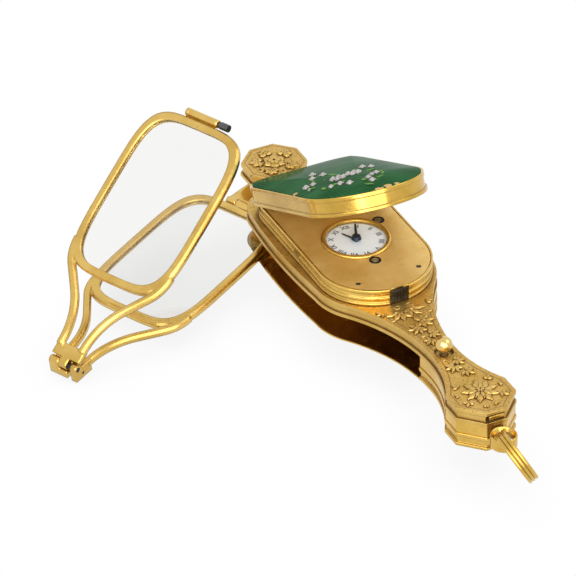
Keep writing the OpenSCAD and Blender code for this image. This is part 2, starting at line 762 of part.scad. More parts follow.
module lens_a_frame() {
    color("gold") on_lens_a() difference() {
        union() {
            lens_rim();
            // Bridge block and its two knuckles
            translate([-bridge_w / 2, bridge_front, half_pitch - play - bridge_h]) cube([bridge_w, bridge_back - bridge_front, bridge_h]);
            across(-bridge_w / 2, tongue_from - play, 0, half_pitch, bridge_barrel_r);
            across(slit_to, bridge_w / 2, 0, half_pitch, bridge_barrel_r);
            // Tab to the barrel beside the rim
            translate([-tab_half, lens_at + lens_half_l, -0.4]) cube([2 * tab_half, barrel_at - lens_at - lens_half_l, 0.8]);
            across(-tab_half, tab_half, barrel_at, 0, barrel_r);
        }
        across(-bridge_w, bridge_w, 0, half_pitch, bridge_pin_r);
        across(-tab_half - 1, tab_half + 1, barrel_at, 0, pin_r + play);
        // Room for the tongue of the upper lens, and the slit of the spring
        translate([tongue_from - play, -3, half_pitch - bridge_barrel_r - 0.3])
            cube([slit_to - tongue_from + play, 3 + bridge_barrel_r + gap, 3]);
        translate([slit_from, -2, half_pitch - bridge_h - 1]) cube([slit_to - slit_from, 4, bridge_h + 1]);
        across(slit_from - 1, bridge_w, spring_u, half_pitch - spring_z, spring_hole_r);
    }
}

module lens_a_glass() {
    color("whitesmoke") on_lens_a() lens_glass();
}

module bridge_pin() {
    color("dimgray") on_lens_a() across(-bridge_w / 2, bridge_w / 2, 0, half_pitch, bridge_pin_r);
}

// Leaf spring in the slit of the bridge, which pushes the lenses apart
module bridge_spring() {
    color("dimgray") on_lens_a() difference() {
        translate([slit_from + 0.15, spring_u - 0.45, half_pitch - bridge_h + 0.1])
            cube([slit_to - slit_from - 0.3, 0.9, bridge_h - spring_z + 0.45]);
        across(slit_from - 1, bridge_w, spring_u, half_pitch - spring_z, spring_hole_r);
    }
}

// Steel screw that holds the spring, its end level with the right cheek of the bridge
module spring_screw() {
    color("dimgray") on_lens_a() across(slit_from - 0.9, bridge_w / 2, spring_u, half_pitch - spring_z, spring_hole_r);
}

module lens_b_frame() {
    color("gold") on_lens_b() difference() {
        union() {
            lens_rim();
            // Leaf of the bridge and the tongue round the pin
            translate([-bridge_w / 2, leaf_from, -half_pitch + play]) cube([bridge_w, bridge_back - leaf_from, leaf_t]);
            across(tongue_from, tongue_to, 0, -half_pitch, bridge_barrel_r);
            translate([tongue_from, 0, -half_pitch + play]) cube([tongue_to - tongue_from, leaf_from + 0.2, bridge_barrel_r - play]);
            // Web that carries the catch tube
            translate([tube_from + 0.3, lens_at + lens_half_l, -0.25]) cube([tube_to - tube_from - 0.6, barrel_at - lens_at - lens_half_l - barrel_r + 0.1, 0.5]);
        }
        across(-bridge_w, bridge_w, 0, -half_pitch, bridge_pin_r + play);
        across(tube_from - 1, tube_to + 1, barrel_at, 0, barrel_r);
    }
}

module lens_b_glass() {
    color("whitesmoke") on_lens_b() lens_glass();
}

module catch_tube() {
    color("goldenrod") on_lens_b() difference() {
        across(tube_from, tube_to, barrel_at, 0, barrel_r);
        across(tube_from + 0.5, tube_to + 1, barrel_at, 0, bolt_r + play);
    }
}

// Steel bolt that slides in the tube, with a forked head outside it
module catch_bolt() {
    head_from = tube_to + bolt_travel + gap;
    color("dimgray") on_lens_b() difference() {
        union() {
            across(tube_from + 2.4 + bolt_travel, head_from + 0.2, barrel_at, 0, bolt_r);
            across(head_from, tube_to + bolt_out, barrel_at, 0, barrel_r - 0.05);
        }
        translate([head_from + 0.4, barrel_at - 2, -0.16]) cube([4, 4, 0.32]);
    }
}

// Spring behind the bolt, drawn as the sleeve that its turns fill
module catch_spring() {
    color("slategray") on_lens_b() difference() {
        across(tube_from + 0.6, tube_from + 2.3, barrel_at, 0, bolt_r - play);
        across(tube_from, tube_from + 3, barrel_at, 0, bolt_r - 0.2);
    }
}

back_shell();
spine();
upper_shell();
swing_post();
platform();
movement();
watch_plate();
plate_screws();
dial();
dial_ring();
hour_hand();
minute_hand();
winding_arbor();
setting_arbor();
lid_pin();
lid_rim();
lid_enamel();
lid_settings();
lid_stones();
lid_catch();
button();
lock_bar();
eyelet();
bow();
swivel_arm();
barrel_pin();
lens_a_frame();
lens_a_glass();
bridge_pin();
bridge_spring();
spring_screw();
lens_b_frame();
lens_b_glass();
catch_tube();
catch_bolt();
catch_spring();
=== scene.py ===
import math

import bmesh
import bpy
from mathutils import Matrix, Vector


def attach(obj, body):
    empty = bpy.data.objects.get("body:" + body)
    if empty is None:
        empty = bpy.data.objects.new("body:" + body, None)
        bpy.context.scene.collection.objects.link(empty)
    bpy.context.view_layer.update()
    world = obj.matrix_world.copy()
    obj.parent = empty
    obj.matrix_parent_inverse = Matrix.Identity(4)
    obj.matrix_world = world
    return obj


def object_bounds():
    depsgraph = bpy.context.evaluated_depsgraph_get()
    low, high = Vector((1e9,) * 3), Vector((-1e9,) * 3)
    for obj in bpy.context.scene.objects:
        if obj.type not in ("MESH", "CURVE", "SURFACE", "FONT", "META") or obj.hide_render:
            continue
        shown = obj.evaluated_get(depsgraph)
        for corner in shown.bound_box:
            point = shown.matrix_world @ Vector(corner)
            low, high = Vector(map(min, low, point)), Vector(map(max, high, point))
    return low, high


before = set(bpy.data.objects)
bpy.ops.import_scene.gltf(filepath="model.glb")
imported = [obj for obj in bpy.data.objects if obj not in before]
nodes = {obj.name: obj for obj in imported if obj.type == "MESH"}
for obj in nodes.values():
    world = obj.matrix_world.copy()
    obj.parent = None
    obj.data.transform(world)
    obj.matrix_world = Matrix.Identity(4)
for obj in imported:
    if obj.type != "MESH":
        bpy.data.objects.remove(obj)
print("packed model loaded:", len(nodes), "nodes")
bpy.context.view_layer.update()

mm = 0.001  # every length below is in millimetres on the real piece
caseTop = 8.0
sunk = 0.03  # ornament starts this much below the face that it stands on


# selecting and finishing

def deselectAll():
    for piece in bpy.context.selected_objects:
        piece.select_set(False)


def activate(piece):
    deselectAll()
    piece.select_set(True)
    bpy.context.view_layer.objects.active = piece


def startEdit(piece, mode="VERT"):
    activate(piece)
    bpy.ops.object.mode_set(mode="EDIT")
    bpy.ops.mesh.select_mode(type=mode)
    bpy.ops.mesh.select_all(action="DESELECT")


def endEdit():
    bpy.ops.object.mode_set(mode="OBJECT")


def pickVerts(piece, test):
    mesh = bmesh.from_edit_mesh(piece.data)
    for vert in mesh.verts:
        vert.select = test(vert.co)
    mesh.select_flush_mode()
    bmesh.update_edit_mesh(piece.data)


def placeInMesh(piece):
    activate(piece)
    bpy.ops.object.transform_apply(location=True, rotation=True, scale=True)


def smoothEdges(piece, angle=35):
    activate(piece)
    bpy.ops.object.shade_smooth_by_angle(angle=math.radians(angle))


def outwardFaces(piece):
    startEdit(piece)
    bpy.ops.mesh.select_all(action="SELECT")
    bpy.ops.mesh.remove_doubles(threshold=1e-7)
    bpy.ops.mesh.normals_make_consistent(inside=False)
    endEdit()


def curveToMesh(piece):
    activate(piece)
    bpy.ops.object.convert(target="MESH")
    return bpy.context.view_layer.objects.active


def joinPieces(pieces, name):
    deselectAll()
    for piece in pieces:
        piece.select_set(True)
    bpy.context.view_layer.objects.active = pieces[0]
    if len(pieces) > 1:
        bpy.ops.object.join()
    joined = bpy.context.view_layer.objects.active
    joined.name = name
    joined.data.name = name
    return joined


def finishPiece(piece, material, body):
    piece.data.materials.clear()
    piece.data.materials.append(material)
    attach(piece, body)


# materials

def shaderOf(tree):
    return next(node for node in tree.nodes if node.type == "BSDF_PRINCIPLED")


def newMaterial(name):
    material = bpy.data.materials.new(name)
    material.use_nodes = True
    tree = material.node_tree
    return material, tree, shaderOf(tree)


def addNode(tree, kind, **settings):
    node = tree.nodes.new(kind)
    for key, value in settings.items():
        setattr(node, key, value)
    return node


def noiseFrom(tree, coordinates, scale, detail=4.0, roughness=0.55, stretch=None):
    noise = addNode(tree, "ShaderNodeTexNoise")
    noise.inputs["Scale"].default_value = scale
    noise.inputs["Detail"].default_value = detail
    noise.inputs["Roughness"].default_value = roughness
    if stretch:
        mapping = addNode(tree, "ShaderNodeMapping")
        mapping.inputs["Scale"].default_value = stretch
        tree.links.new(coordinates, mapping.inputs["Vector"])
        tree.links.new(mapping.outputs["Vector"], noise.inputs["Vector"])
    else:
        tree.links.new(coordinates, noise.inputs["Vector"])
    return noise.outputs["Fac"]


def rangeOf(tree, value, fromLow, fromHigh, toLow, toHigh):
    node = addNode(tree, "ShaderNodeMapRange")
    tree.links.new(value, node.inputs["Value"])
    node.inputs["From Min"].default_value = fromLow
    node.inputs["From Max"].default_value = fromHigh
    node.inputs["To Min"].default_value = toLow
    node.inputs["To Max"].default_value = toHigh
    return node.outputs["Result"]


def mathOf(tree, operation, first, second=None):
    node = addNode(tree, "ShaderNodeMath", operation=operation)
    for socket, value in zip(node.inputs, (first, second)):
        if value is None:
            continue
        if isinstance(value, (int, float)):
            socket.default_value = value
        else:
            tree.links.new(value, socket)
    return node.outputs["Value"]


def mixColour(tree, factor, first, second):
    node = addNode(tree, "ShaderNodeMix", data_type="RGBA")
    tree.links.new(factor, node.inputs["Factor"])
    for socket, value in ((node.inputs[6], first), (node.inputs[7], second)):
        if isinstance(value, tuple):
            socket.default_value = value
        else:
            tree.links.new(value, socket)
    return node.outputs[2]


def bumpFrom(tree, height, strength, distance, under=None):
    node = addNode(tree, "ShaderNodeBump")
    node.inputs["Strength"].default_value = strength
    node.inputs["Distance"].default_value = distance
    tree.links.new(height, node.inputs["Height"])
    if under is not None:
        tree.links.new(under, node.inputs["Normal"])
    return node.outputs["Normal"]


finish = {"hairRough": 0.12, "hairDepth": 0.02, "dentDepth": 0.12, "wearFiner": 3.1, "cornerSamples": 6,
          "edgeSamples": 12, "shadeMetallic": 0.2, "shine": 0.5, "shadeShine": 0.1}


def agedMetal(name, sizes):
    # tone drifts slowly, hairlines and pits roughen it, and painted shade darkens the corners
    material, tree, shader = newMaterial(name)
    coordinates = addNode(tree, "ShaderNodeTexCoord").outputs["Object"]
    drift = noiseFrom(tree, coordinates, sizes["driftScale"], 5.0, 0.6)
    tone = mixColour(tree, rangeOf(tree, drift, 0.35, 0.65, 0.0, 1.0), sizes["colour"], sizes["second"])
    speck = noiseFrom(tree, coordinates, sizes["speckScale"], 6.0, 0.7)
    tone = mixColour(tree, rangeOf(tree, speck, 0.56, 0.72, 0.0, sizes["specks"]), tone, sizes["dirtAndShade"])
    # painted shade: where the occlusion finds a corner or recess close by, the tone turns to the dark brown
    corner = addNode(tree, "ShaderNodeAmbientOcclusion", samples=finish["cornerSamples"])
    corner.inputs["Distance"].default_value = sizes["cornerReach"] * mm
    shade = rangeOf(tree, corner.outputs["AO"], sizes["cornerFrom"], sizes["cornerTo"],
                    sizes["cornerShade"], 0.0)
    tone = mixColour(tree, shade, tone, sizes["dirtAndShade"])
    tree.links.new(tone, shader.inputs["Base Color"])
    hairs = noiseFrom(tree, coordinates, sizes["hairScale"], 3.0, 0.5, sizes["hairStretch"])
    wear = noiseFrom(tree, coordinates, sizes["driftScale"] * finish["wearFiner"], 6.0, 0.65)
    rough = mathOf(tree, "ADD", rangeOf(tree, wear, 0.3, 0.7, sizes["roughLow"], sizes["roughHigh"]),
                   rangeOf(tree, hairs, 0.5, 0.75, 0.0, finish["hairRough"]))
    tree.links.new(rough, shader.inputs["Roughness"])
    # edges and corners look worn round
    rounded = addNode(tree, "ShaderNodeBevel", samples=finish["edgeSamples"])
    rounded.inputs["Radius"].default_value = sizes["worn"] * mm
    normal = bumpFrom(tree, hairs, sizes["hairBump"], finish["hairDepth"] * mm, rounded.outputs["Normal"])
    normal = bumpFrom(tree, wear, sizes["dentBump"], finish["dentDepth"] * mm, normal)
    tree.links.new(normal, shader.inputs["Normal"])
    # where shade is painted the surface is made no metal and hardly shines, so it stays brown at a flat angle
    tree.links.new(rangeOf(tree, shade, 0.0, 1.0, sizes["metallic"], finish["shadeMetallic"]),
                   shader.inputs["Metallic"])
    tree.links.new(rangeOf(tree, shade, 0.0, 1.0, finish["shine"], finish["shadeShine"]),
                   shader.inputs["Specular IOR Level"])
    return material


goldSizes = {
    "colour": (0.78, 0.51, 0.125, 1), "second": (0.62, 0.38, 0.075, 1), "dirtAndShade": (0.085, 0.034, 0.010, 1),
    "driftScale": 130.0, "speckScale": 700.0, "specks": 0.16, "cornerReach": 1.7, "cornerFrom": 0.25,
    "cornerTo": 0.85, "cornerShade": 0.85, "hairScale": 260.0, "hairStretch": (1.0, 9.0, 9.0),
    "roughLow": 0.12, "roughHigh": 0.24, "hairBump": 0.04, "dentBump": 0.03, "worn": 0.4,
    "metallic": 1.0,
}
caseGold = agedMetal("caseGold", goldSizes)

# the slot's parts take a stronger painted shade that reaches farther into their hollows
slotSizes = dict(goldSizes, cornerReach=2.2, cornerFrom=0.12, cornerTo=0.55, cornerShade=1.0,
                 dirtAndShade=(0.05, 0.022, 0.009, 1))
slotGold = agedMetal("slotGold", slotSizes)

rimSizes = dict(goldSizes, colour=(0.75, 0.51, 0.15, 1), second=(0.60, 0.38, 0.09, 1),
                hairStretch=(1.0, 1.0, 8.0), worn=0.7, cornerReach=0.9, cornerFrom=0.1, cornerTo=0.7,
                cornerShade=0.1)
rimGold = agedMetal("rimGold", rimSizes)

lidSizes = dict(goldSizes, colour=(0.71, 0.46, 0.10, 1), second=(0.56, 0.34, 0.06, 1), roughLow=0.10,
                roughHigh=0.20, worn=0.25, hairBump=0.02)
lidGold = agedMetal("lidGold", lidSizes)

plateSizes = dict(goldSizes, worn=0.08, colour=(0.86, 0.62, 0.23, 1), second=(0.74, 0.47, 0.12, 1),
                  roughLow=0.42, roughHigh=0.55, hairStretch=(9.0, 1.0, 1.0), hairBump=0.25, specks=0.2,
                  cornerReach=0.7, metallic=0.85)
plateGold = agedMetal("plateGold", plateSizes)

# cut ornament is satin, with painted shade darkening its outlines
cutSizes = dict(goldSizes, worn=0.12, colour=(0.71, 0.475, 0.14, 1), second=(0.58, 0.36, 0.08, 1),
                roughLow=0.30, roughHigh=0.44, cornerReach=0.6, cornerFrom=0.5, cornerTo=0.94, cornerShade=1.0)
cutGold = agedMetal("cutGold", cutSizes)

steelSizes = dict(goldSizes, worn=0.08, colour=(0.13, 0.13, 0.14, 1), second=(0.04, 0.04, 0.045, 1),
                  dirtAndShade=(0.012, 0.011, 0.010, 1), roughLow=0.16, roughHigh=0.34, cornerReach=0.8)
darkSteel = agedMetal("darkSteel", steelSizes)

bossSizes = dict(steelSizes, colour=(0.045, 0.06, 0.10, 1), second=(0.02, 0.03, 0.055, 1), metallic=0.7)
bluedSteel = agedMetal("bluedSteel", bossSizes)

silverSizes = dict(goldSizes, worn=0.08, colour=(0.62, 0.60, 0.57, 1), second=(0.42, 0.39, 0.36, 1),
                   dirtAndShade=(0.03, 0.03, 0.025, 1), roughLow=0.2, roughHigh=0.4, cornerReach=0.6)
dullSilver = agedMetal("dullSilver", silverSizes)

paleSizes = dict(plateSizes, colour=(0.86, 0.76, 0.58, 1), second=(0.76, 0.66, 0.46, 1))
paleGold = agedMetal("paleGold", paleSizes)

squareSizes = dict(steelSizes, colour=(0.62, 0.62, 0.63, 1), second=(0.30, 0.30, 0.32, 1), cornerReach=0.3)
brightSteel = agedMetal("brightSteel", squareSizes)

buttonSizes = dict(goldSizes, colour=(0.80, 0.58, 0.22, 1), second=(0.66, 0.45, 0.14, 1), roughLow=0.05,
                   roughHigh=0.14, dentBump=0.02)
polishedGold = agedMetal("polishedGold", buttonSizes)
print("metals made")


def engravedGold(name, sizes):
    # the ground between the cut ornaments is stippled with a punch, and its pits are painted darker as shade
    material = agedMetal(name, cutSizes)
    tree = material.node_tree
    shader = shaderOf(tree)
    coordinates = addNode(tree, "ShaderNodeTexCoord").outputs["Object"]
    split = addNode(tree, "ShaderNodeSeparateXYZ")
    tree.links.new(coordinates, split.inputs["Vector"])
    onTop = rangeOf(tree, split.outputs["Z"], (caseTop - 0.1) * mm, (caseTop - 0.04) * mm, 0.0, 1.0)
    dots = addNode(tree, "ShaderNodeTexVoronoi")
    dots.inputs["Scale"].default_value = sizes["dotScale"]
    tree.links.new(coordinates, dots.inputs["Vector"])
    punched = mathOf(tree, "MULTIPLY", rangeOf(tree, dots.outputs["Distance"], 0.0, 0.5, 1.0, 0.0), onTop)
    before = shader.inputs["Normal"].links[0].from_socket
    tree.links.new(bumpFrom(tree, punched, sizes["dotBump"], sizes["dotDepth"] * mm, before),
                   shader.inputs["Normal"])
    roughBefore = shader.inputs["Roughness"].links[0].from_socket
    tree.links.new(mathOf(tree, "ADD", roughBefore, rangeOf(tree, onTop, 0.0, 1.0, 0.0, sizes["mattGround"])),
                   shader.inputs["Roughness"])
    toneBefore = shader.inputs["Base Color"].links[0].from_socket
    # painted shade: the deeper the punch mark, the darker its colour
    pitShaded = mathOf(tree, "MULTIPLY", punched, sizes["pitShade"])
    tree.links.new(mixColour(tree, pitShaded, toneBefore, cutSizes["dirtAndShade"]), shader.inputs["Base Color"])
    return material


groundSizes = {"dotScale": 2100.0, "dotBump": 0.6, "dotDepth": 0.06, "mattGround": 0.06, "pitShade": 0.45}
groundGold = engravedGold("engravedGroundGold", groundSizes)


def greenEnamel(name, sizes):
    # clear green over wavy engine turning, with a few chips along its edge
    material, tree, shader = newMaterial(name)
    coordinates = addNode(tree, "ShaderNodeTexCoord").outputs["Object"]
    waves = addNode(tree, "ShaderNodeTexWave", wave_type="BANDS", bands_direction="X")
    waves.inputs["Scale"].default_value = sizes["waveScale"]
    waves.inputs["Distortion"].default_value = sizes["waveTwist"]
    tree.links.new(coordinates, waves.inputs["Vector"])
    cloud = noiseFrom(tree, coordinates, sizes["cloudScale"], 4.0, 0.6)
    tone = mixColour(tree, rangeOf(tree, cloud, 0.3, 0.7, 0.0, 1.0), sizes["colour"], sizes["second"])
    turning = mathOf(tree, "MULTIPLY", waves.outputs["Fac"], sizes["waveLight"])
    tone = mixColour(tree, turning, tone, sizes["light"])
    ragged = noiseFrom(tree, coordinates, sizes["chipScale"], 3.0, 0.6)
    chipped = None
    for x, y, z, reach in sizes["chips"]:
        offset = addNode(tree, "ShaderNodeVectorMath", operation="DISTANCE")
        offset.inputs[1].default_value = (x * mm, y * mm, z * mm)
        tree.links.new(coordinates, offset.inputs[0])
        edge = rangeOf(tree, ragged, 0.3, 0.7, -sizes["chipRagged"] * mm, sizes["chipRagged"] * mm)
        spot = mathOf(tree, "ADD", offset.outputs["Value"], edge)
        inside = mathOf(tree, "LESS_THAN", spot, reach * mm)
        chipped = inside if chipped is None else mathOf(tree, "MAXIMUM", chipped, inside)
    tone = mixColour(tree, chipped, tone, sizes["copper"])
    tree.links.new(tone, shader.inputs["Base Color"])
    rough = rangeOf(tree, cloud, 0.3, 0.7, sizes["roughLow"], sizes["roughHigh"])
    chipRough = rangeOf(tree, chipped, 0.0, 1.0, 0.0, sizes["chipRough"])
    tree.links.new(mathOf(tree, "MAXIMUM", rough, chipRough), shader.inputs["Roughness"])
    swell = noiseFrom(tree, coordinates, sizes["swellScale"], 2.0, 0.4)
    tree.links.new(bumpFrom(tree, swell, sizes["swell"], sizes["swellDepth"] * mm), shader.inputs["Normal"])
    shader.inputs["IOR"].default_value = sizes["bend"]
    return material


hingeY, hingeZ, lidTurn = 31.1, 8.15, math.radians(25.8)


def onLid(x, y, z):
    # a place on the closed lid, with its lower edge at z 0, carried to the shown angle
    along, height = y - hingeY, z
    return (x, hingeY + along * math.cos(lidTurn) + height * math.sin(lidTurn),
            hingeZ - along * math.sin(lidTurn) + height * math.cos(lidTurn))


enamelSizes = {
    "colour": (0.031, 0.128, 0.043, 1), "second": (0.012, 0.070, 0.022, 1), "light": (0.08, 0.28, 0.11, 1),
    "copper": (0.62, 0.42, 0.20, 1), "waveScale": 420.0, "waveTwist": 3.0, "waveLight": 0.12,
    "cloudScale": 160.0, "chipScale": 900.0, "chipRagged": 0.5, "chipRough": 0.5, "roughLow": 0.05,
    "roughHigh": 0.12, "swellScale": 55.0, "swell": 0.25, "swellDepth": 0.4,
    "bend": 1.022,  # low, so that the lid stays green at a flat angle
    "chips": [(*onLid(-1.2, -10.4, 3.6), 0.9), (*onLid(0.7, -10.4, 3.6), 0.8), (*onLid(2.2, -10.2, 3.6), 0.5),
              (*onLid(-10.9, 5.9, 3.6), 0.8)],
}
lidEnamel = greenEnamel("lidEnamel", enamelSizes)


glaze = {"cloudRough": 0.12, "bump": 0.08, "depth": 0.05, "bend": 1.1, "coatRough": 0.05}


def paintedGlaze(name, colour, second, roughness, scale=600.0, coat=0.4):
    material, tree, shader = newMaterial(name)
    coordinates = addNode(tree, "ShaderNodeTexCoord").outputs["Object"]
    cloud = noiseFrom(tree, coordinates, scale, 5.0, 0.6)
    tree.links.new(mixColour(tree, rangeOf(tree, cloud, 0.35, 0.65, 0.0, 1.0), colour, second),
                   shader.inputs["Base Color"])
    tree.links.new(rangeOf(tree, cloud, 0.3, 0.7, roughness, roughness + glaze["cloudRough"]),
                   shader.inputs["Roughness"])
    tree.links.new(bumpFrom(tree, cloud, glaze["bump"], glaze["depth"] * mm), shader.inputs["Normal"])
    shader.inputs["Coat Weight"].default_value = coat
    shader.inputs["IOR"].default_value = glaze["bend"] + coat
    shader.inputs["Coat Roughness"].default_value = glaze["coatRough"]
    return material


dialEnamel = paintedGlaze("dialEnamel", (0.88, 0.95, 1.0, 1), (0.83, 0.91, 0.98, 1), 0.10, 300.0)
numeralPaint = paintedGlaze("numeralPaint", (0.06, 0.08, 0.11, 1), (0.12, 0.15, 0.20, 1), 0.30)
leafPaint = paintedGlaze("leafPaint", (0.09, 0.26, 0.04, 1), (0.20, 0.34, 0.06, 1), 0.4, coat=0.0)
# dark brown for engraved lines, painted shade standing in for the cut grooves
darkLine = paintedGlaze("darkLine", (0.10, 0.045, 0.014, 1), (0.17, 0.085, 0.025, 1), 0.45)


def clearGlass(name, sizes):
    material, tree, shader = newMaterial(name)
    coordinates = addNode(tree, "ShaderNodeTexCoord").outputs["Object"]
    haze = noiseFrom(tree, coordinates, sizes["hazeScale"], 5.0, 0.6)
    tree.links.new(mixColour(tree, haze, sizes["colour"], sizes["second"]), shader.inputs["Base Color"])
    tree.links.new(rangeOf(tree, haze, 0.35, 0.75, sizes["roughLow"], sizes["roughHigh"]),
                   shader.inputs["Roughness"])
    tree.links.new(bumpFrom(tree, haze, sizes["bump"], sizes["depth"] * mm), shader.inputs["Normal"])
    shader.inputs["Transmission Weight"].default_value = sizes["clear"]
    shader.inputs["IOR"].default_value = sizes["bend"]
    return material


glassSizes = {"colour": (0.925, 0.925, 0.915, 1), "second": (0.90, 0.90, 0.89, 1), "hazeScale": 90.0,
              "roughLow": 0.0, "roughHigh": 0.02, "clear": 1.0, "bend": 1.45, "bump": 0.03, "depth": 0.05}
lensGlass = clearGlass("lensGlass", glassSizes)

stoneSizes = dict(glassSizes, colour=(0.82, 0.77, 0.73, 1), second=(0.55, 0.49, 0.45, 1), hazeScale=1500.0,
                  roughLow=0.02, roughHigh=0.12, clear=0.45, bend=1.75)
roseCut = clearGlass("roseCutStone", stoneSizes)
# black for the painted shade round the arbor holes
paintedHoleShade = paintedGlaze("paintedHoleShade", (0.012, 0.010, 0.009, 1), (0.03, 0.025, 0.02, 1), 0.35, coat=0.0)
print("enamels and glass made")

nodeMaterials = {
    caseGold: ["swing_post", "dial_ring", "lid_pin", "lock_bar", "eyelet"],
    lidGold: ["lid_rim", "bow"],
    groundGold: ["upper_shell"],
    slotGold: ["back_shell", "spine", "platform"],
    rimGold: ["swivel_arm", "barrel_pin", "lens_a_frame", "lens_b_frame", "catch_tube"],
    plateGold: ["watch_plate", "movement"],
    brightSteel: ["winding_arbor", "setting_arbor"],
    polishedGold: ["button"],
    darkSteel: ["lid_catch", "bridge_pin", "bridge_spring", "spring_screw",
                "catch_bolt", "catch_spring", "plate_screws"],
    bluedSteel: ["hour_hand", "minute_hand"],
    dialEnamel: ["dial"],
    lidEnamel: ["lid_enamel"],
    dullSilver: ["lid_settings"],
    roseCut: ["lid_stones"],
    lensGlass: ["lens_a_glass", "lens_b_glass"],
}
for material, names in nodeMaterials.items():
    for name in names:
        nodes[name].data.materials.clear()
        nodes[name].data.materials.append(material)
print("finishes laid on the", len(nodes), "nodes")

# the lid's panel is backed with gold, as its underside shows to the dial
lidUp = Vector((0, math.sin(lidTurn), math.cos(lidTurn)))
nodes["lid_enamel"].data.materials.append(paleGold)
for face in nodes["lid_enamel"].data.polygons:
    if face.normal.dot(lidUp) < -0.3:
        face.material_index = 1


# cut ornament

def leafBlank(name, sizes):
    # one leaf a millimetre long, raised from a disc, with a pinched tip and a cut midrib
    deselectAll()
    bpy.ops.mesh.primitive_circle_add(vertices=sizes["sides"], radius=0.5 * mm, fill_type="NGON",
                                      location=(0, 0.5 * mm, 0))
    leaf = bpy.context.view_layer.objects.active
    leaf.name = name
    placeInMesh(leaf)
    startEdit(leaf)
    pickVerts(leaf, lambda at: True)
    bpy.ops.transform.resize(value=(sizes["width"], 1, 1))
    pickVerts(leaf, lambda at: at.y > sizes["tipFrom"] * mm)
    bpy.ops.transform.resize(value=(sizes["tip"], 1, 1))
    pickVerts(leaf, lambda at: at.y < sizes["rootTo"] * mm)
    bpy.ops.transform.resize(value=(sizes["root"], 1, 1))
    bpy.ops.mesh.select_all(action="SELECT")
    bpy.ops.mesh.extrude_region_move(TRANSFORM_OT_translate={"value": (0, 0, sizes["wall"] * mm)})
    bpy.ops.mesh.inset(thickness=sizes["shoulder"] * mm, depth=sizes["swell"] * mm)
    bpy.ops.mesh.select_all(action="SELECT")
    bpy.ops.mesh.bisect(plane_co=(0, 0, 0), plane_no=(1, 0, 0))
    high = (sizes["wall"] + sizes["swell"] * 0.9) * mm
    pickVerts(leaf, lambda at: abs(at.x) < 1e-6 and at.z > high and 0.1 * mm < at.y < 0.9 * mm)
    bpy.ops.transform.translate(value=(0, 0, -sizes["midrib"] * mm))
    bpy.ops.mesh.select_all(action="SELECT")
    bpy.ops.mesh.normals_make_consistent(inside=False)
    endEdit()
    return leaf


def placeLeaves(blank, name, spots, ground):
    # each spot: across, along, heading in degrees from the far end, length, width, height
    copies = []
    for x, y, heading, length, width, height in spots:
        leaf = blank.copy()
        leaf.data = blank.data.copy()
        bpy.context.collection.objects.link(leaf)
        leaf.location = (x * mm, y * mm, ground(x, y) * mm)
        leaf.rotation_euler = (0, 0, math.radians(-heading))
        leaf.scale = (width / leafSizes["width"], length, height)
        copies.append(leaf)
    deselectAll()
    for leaf in copies:
        leaf.select_set(True)
    bpy.context.view_layer.objects.active = copies[0]
    bpy.ops.object.transform_apply(location=True, rotation=True, scale=True)
    leaves = joinPieces(copies, name)
    smoothEdges(leaves, 50)
    return leaves


leafSizes = {"sides": 28, "width": 0.5, "tip": 0.62, "tipFrom": 0.72, "root": 0.75, "rootTo": 0.2,
             "wall": 0.10, "shoulder": 0.09, "swell": 0.09, "midrib": 0.07}
outerShorter = 0.25  # share by which a fan's outermost leaves are shorter
leafPattern = leafBlank("leafPattern", leafSizes)


def topOfCase(x, y):
    return caseTop - sunk


def bothSides(spots):
    return spots + [(-x, y, -heading, length, width, height) for x, y, heading, length, width, height in spots]


def fan(x, y, heading, count, spread, length, width, height=1.5, start=0.0):
    # leaves that open from one root, the outer ones shorter
    spots = []
    for i in range(count):
        side = 2 * i / (count - 1) - 1
        turn = heading + side * spread / 2
        out = math.radians(turn)
        spots.append((x + start * math.sin(out), y + start * math.cos(out), turn,
                      length * (1 - outerShorter * abs(side)), width, height))
    return spots


def ring(x, y, count, first, length, width, height, start):
    return [(x + start * math.sin(a), y + start * math.cos(a), math.degrees(a), length, width, height)
            for a in [math.radians(first + 360 * i / count) for i in range(count)]]


flowerMiddle = (0.1, -40.3)
flowerLeaves = ring(*flowerMiddle, 9, 8, 2.9, 1.15, 2.2, 0.45) + ring(*flowerMiddle, 9, 28, 2.0, 0.9, 3.0, 0.3)
flowerLeaves += ring(*flowerMiddle, 6, 0, 0.8, 0.6, 4.0, 0.05)
flowerLeaves += bothSides(
    fan(2.9, -37.7, 35, 3, 120, 1.3, 0.65, 1.8) + fan(3.2, -42.4, 140, 3, 130, 1.4, 0.65, 1.8)
    + fan(0.8, -44.3, 150, 2, 60, 1.1, 0.6, 1.8) + fan(3.9, -39.9, 85, 2, 70, 1.0, 0.55, 1.8))
handleFlower = placeLeaves(leafPattern, "handleFlower", flowerLeaves, topOfCase)
finishPiece(handleFlower, cutGold, "case")

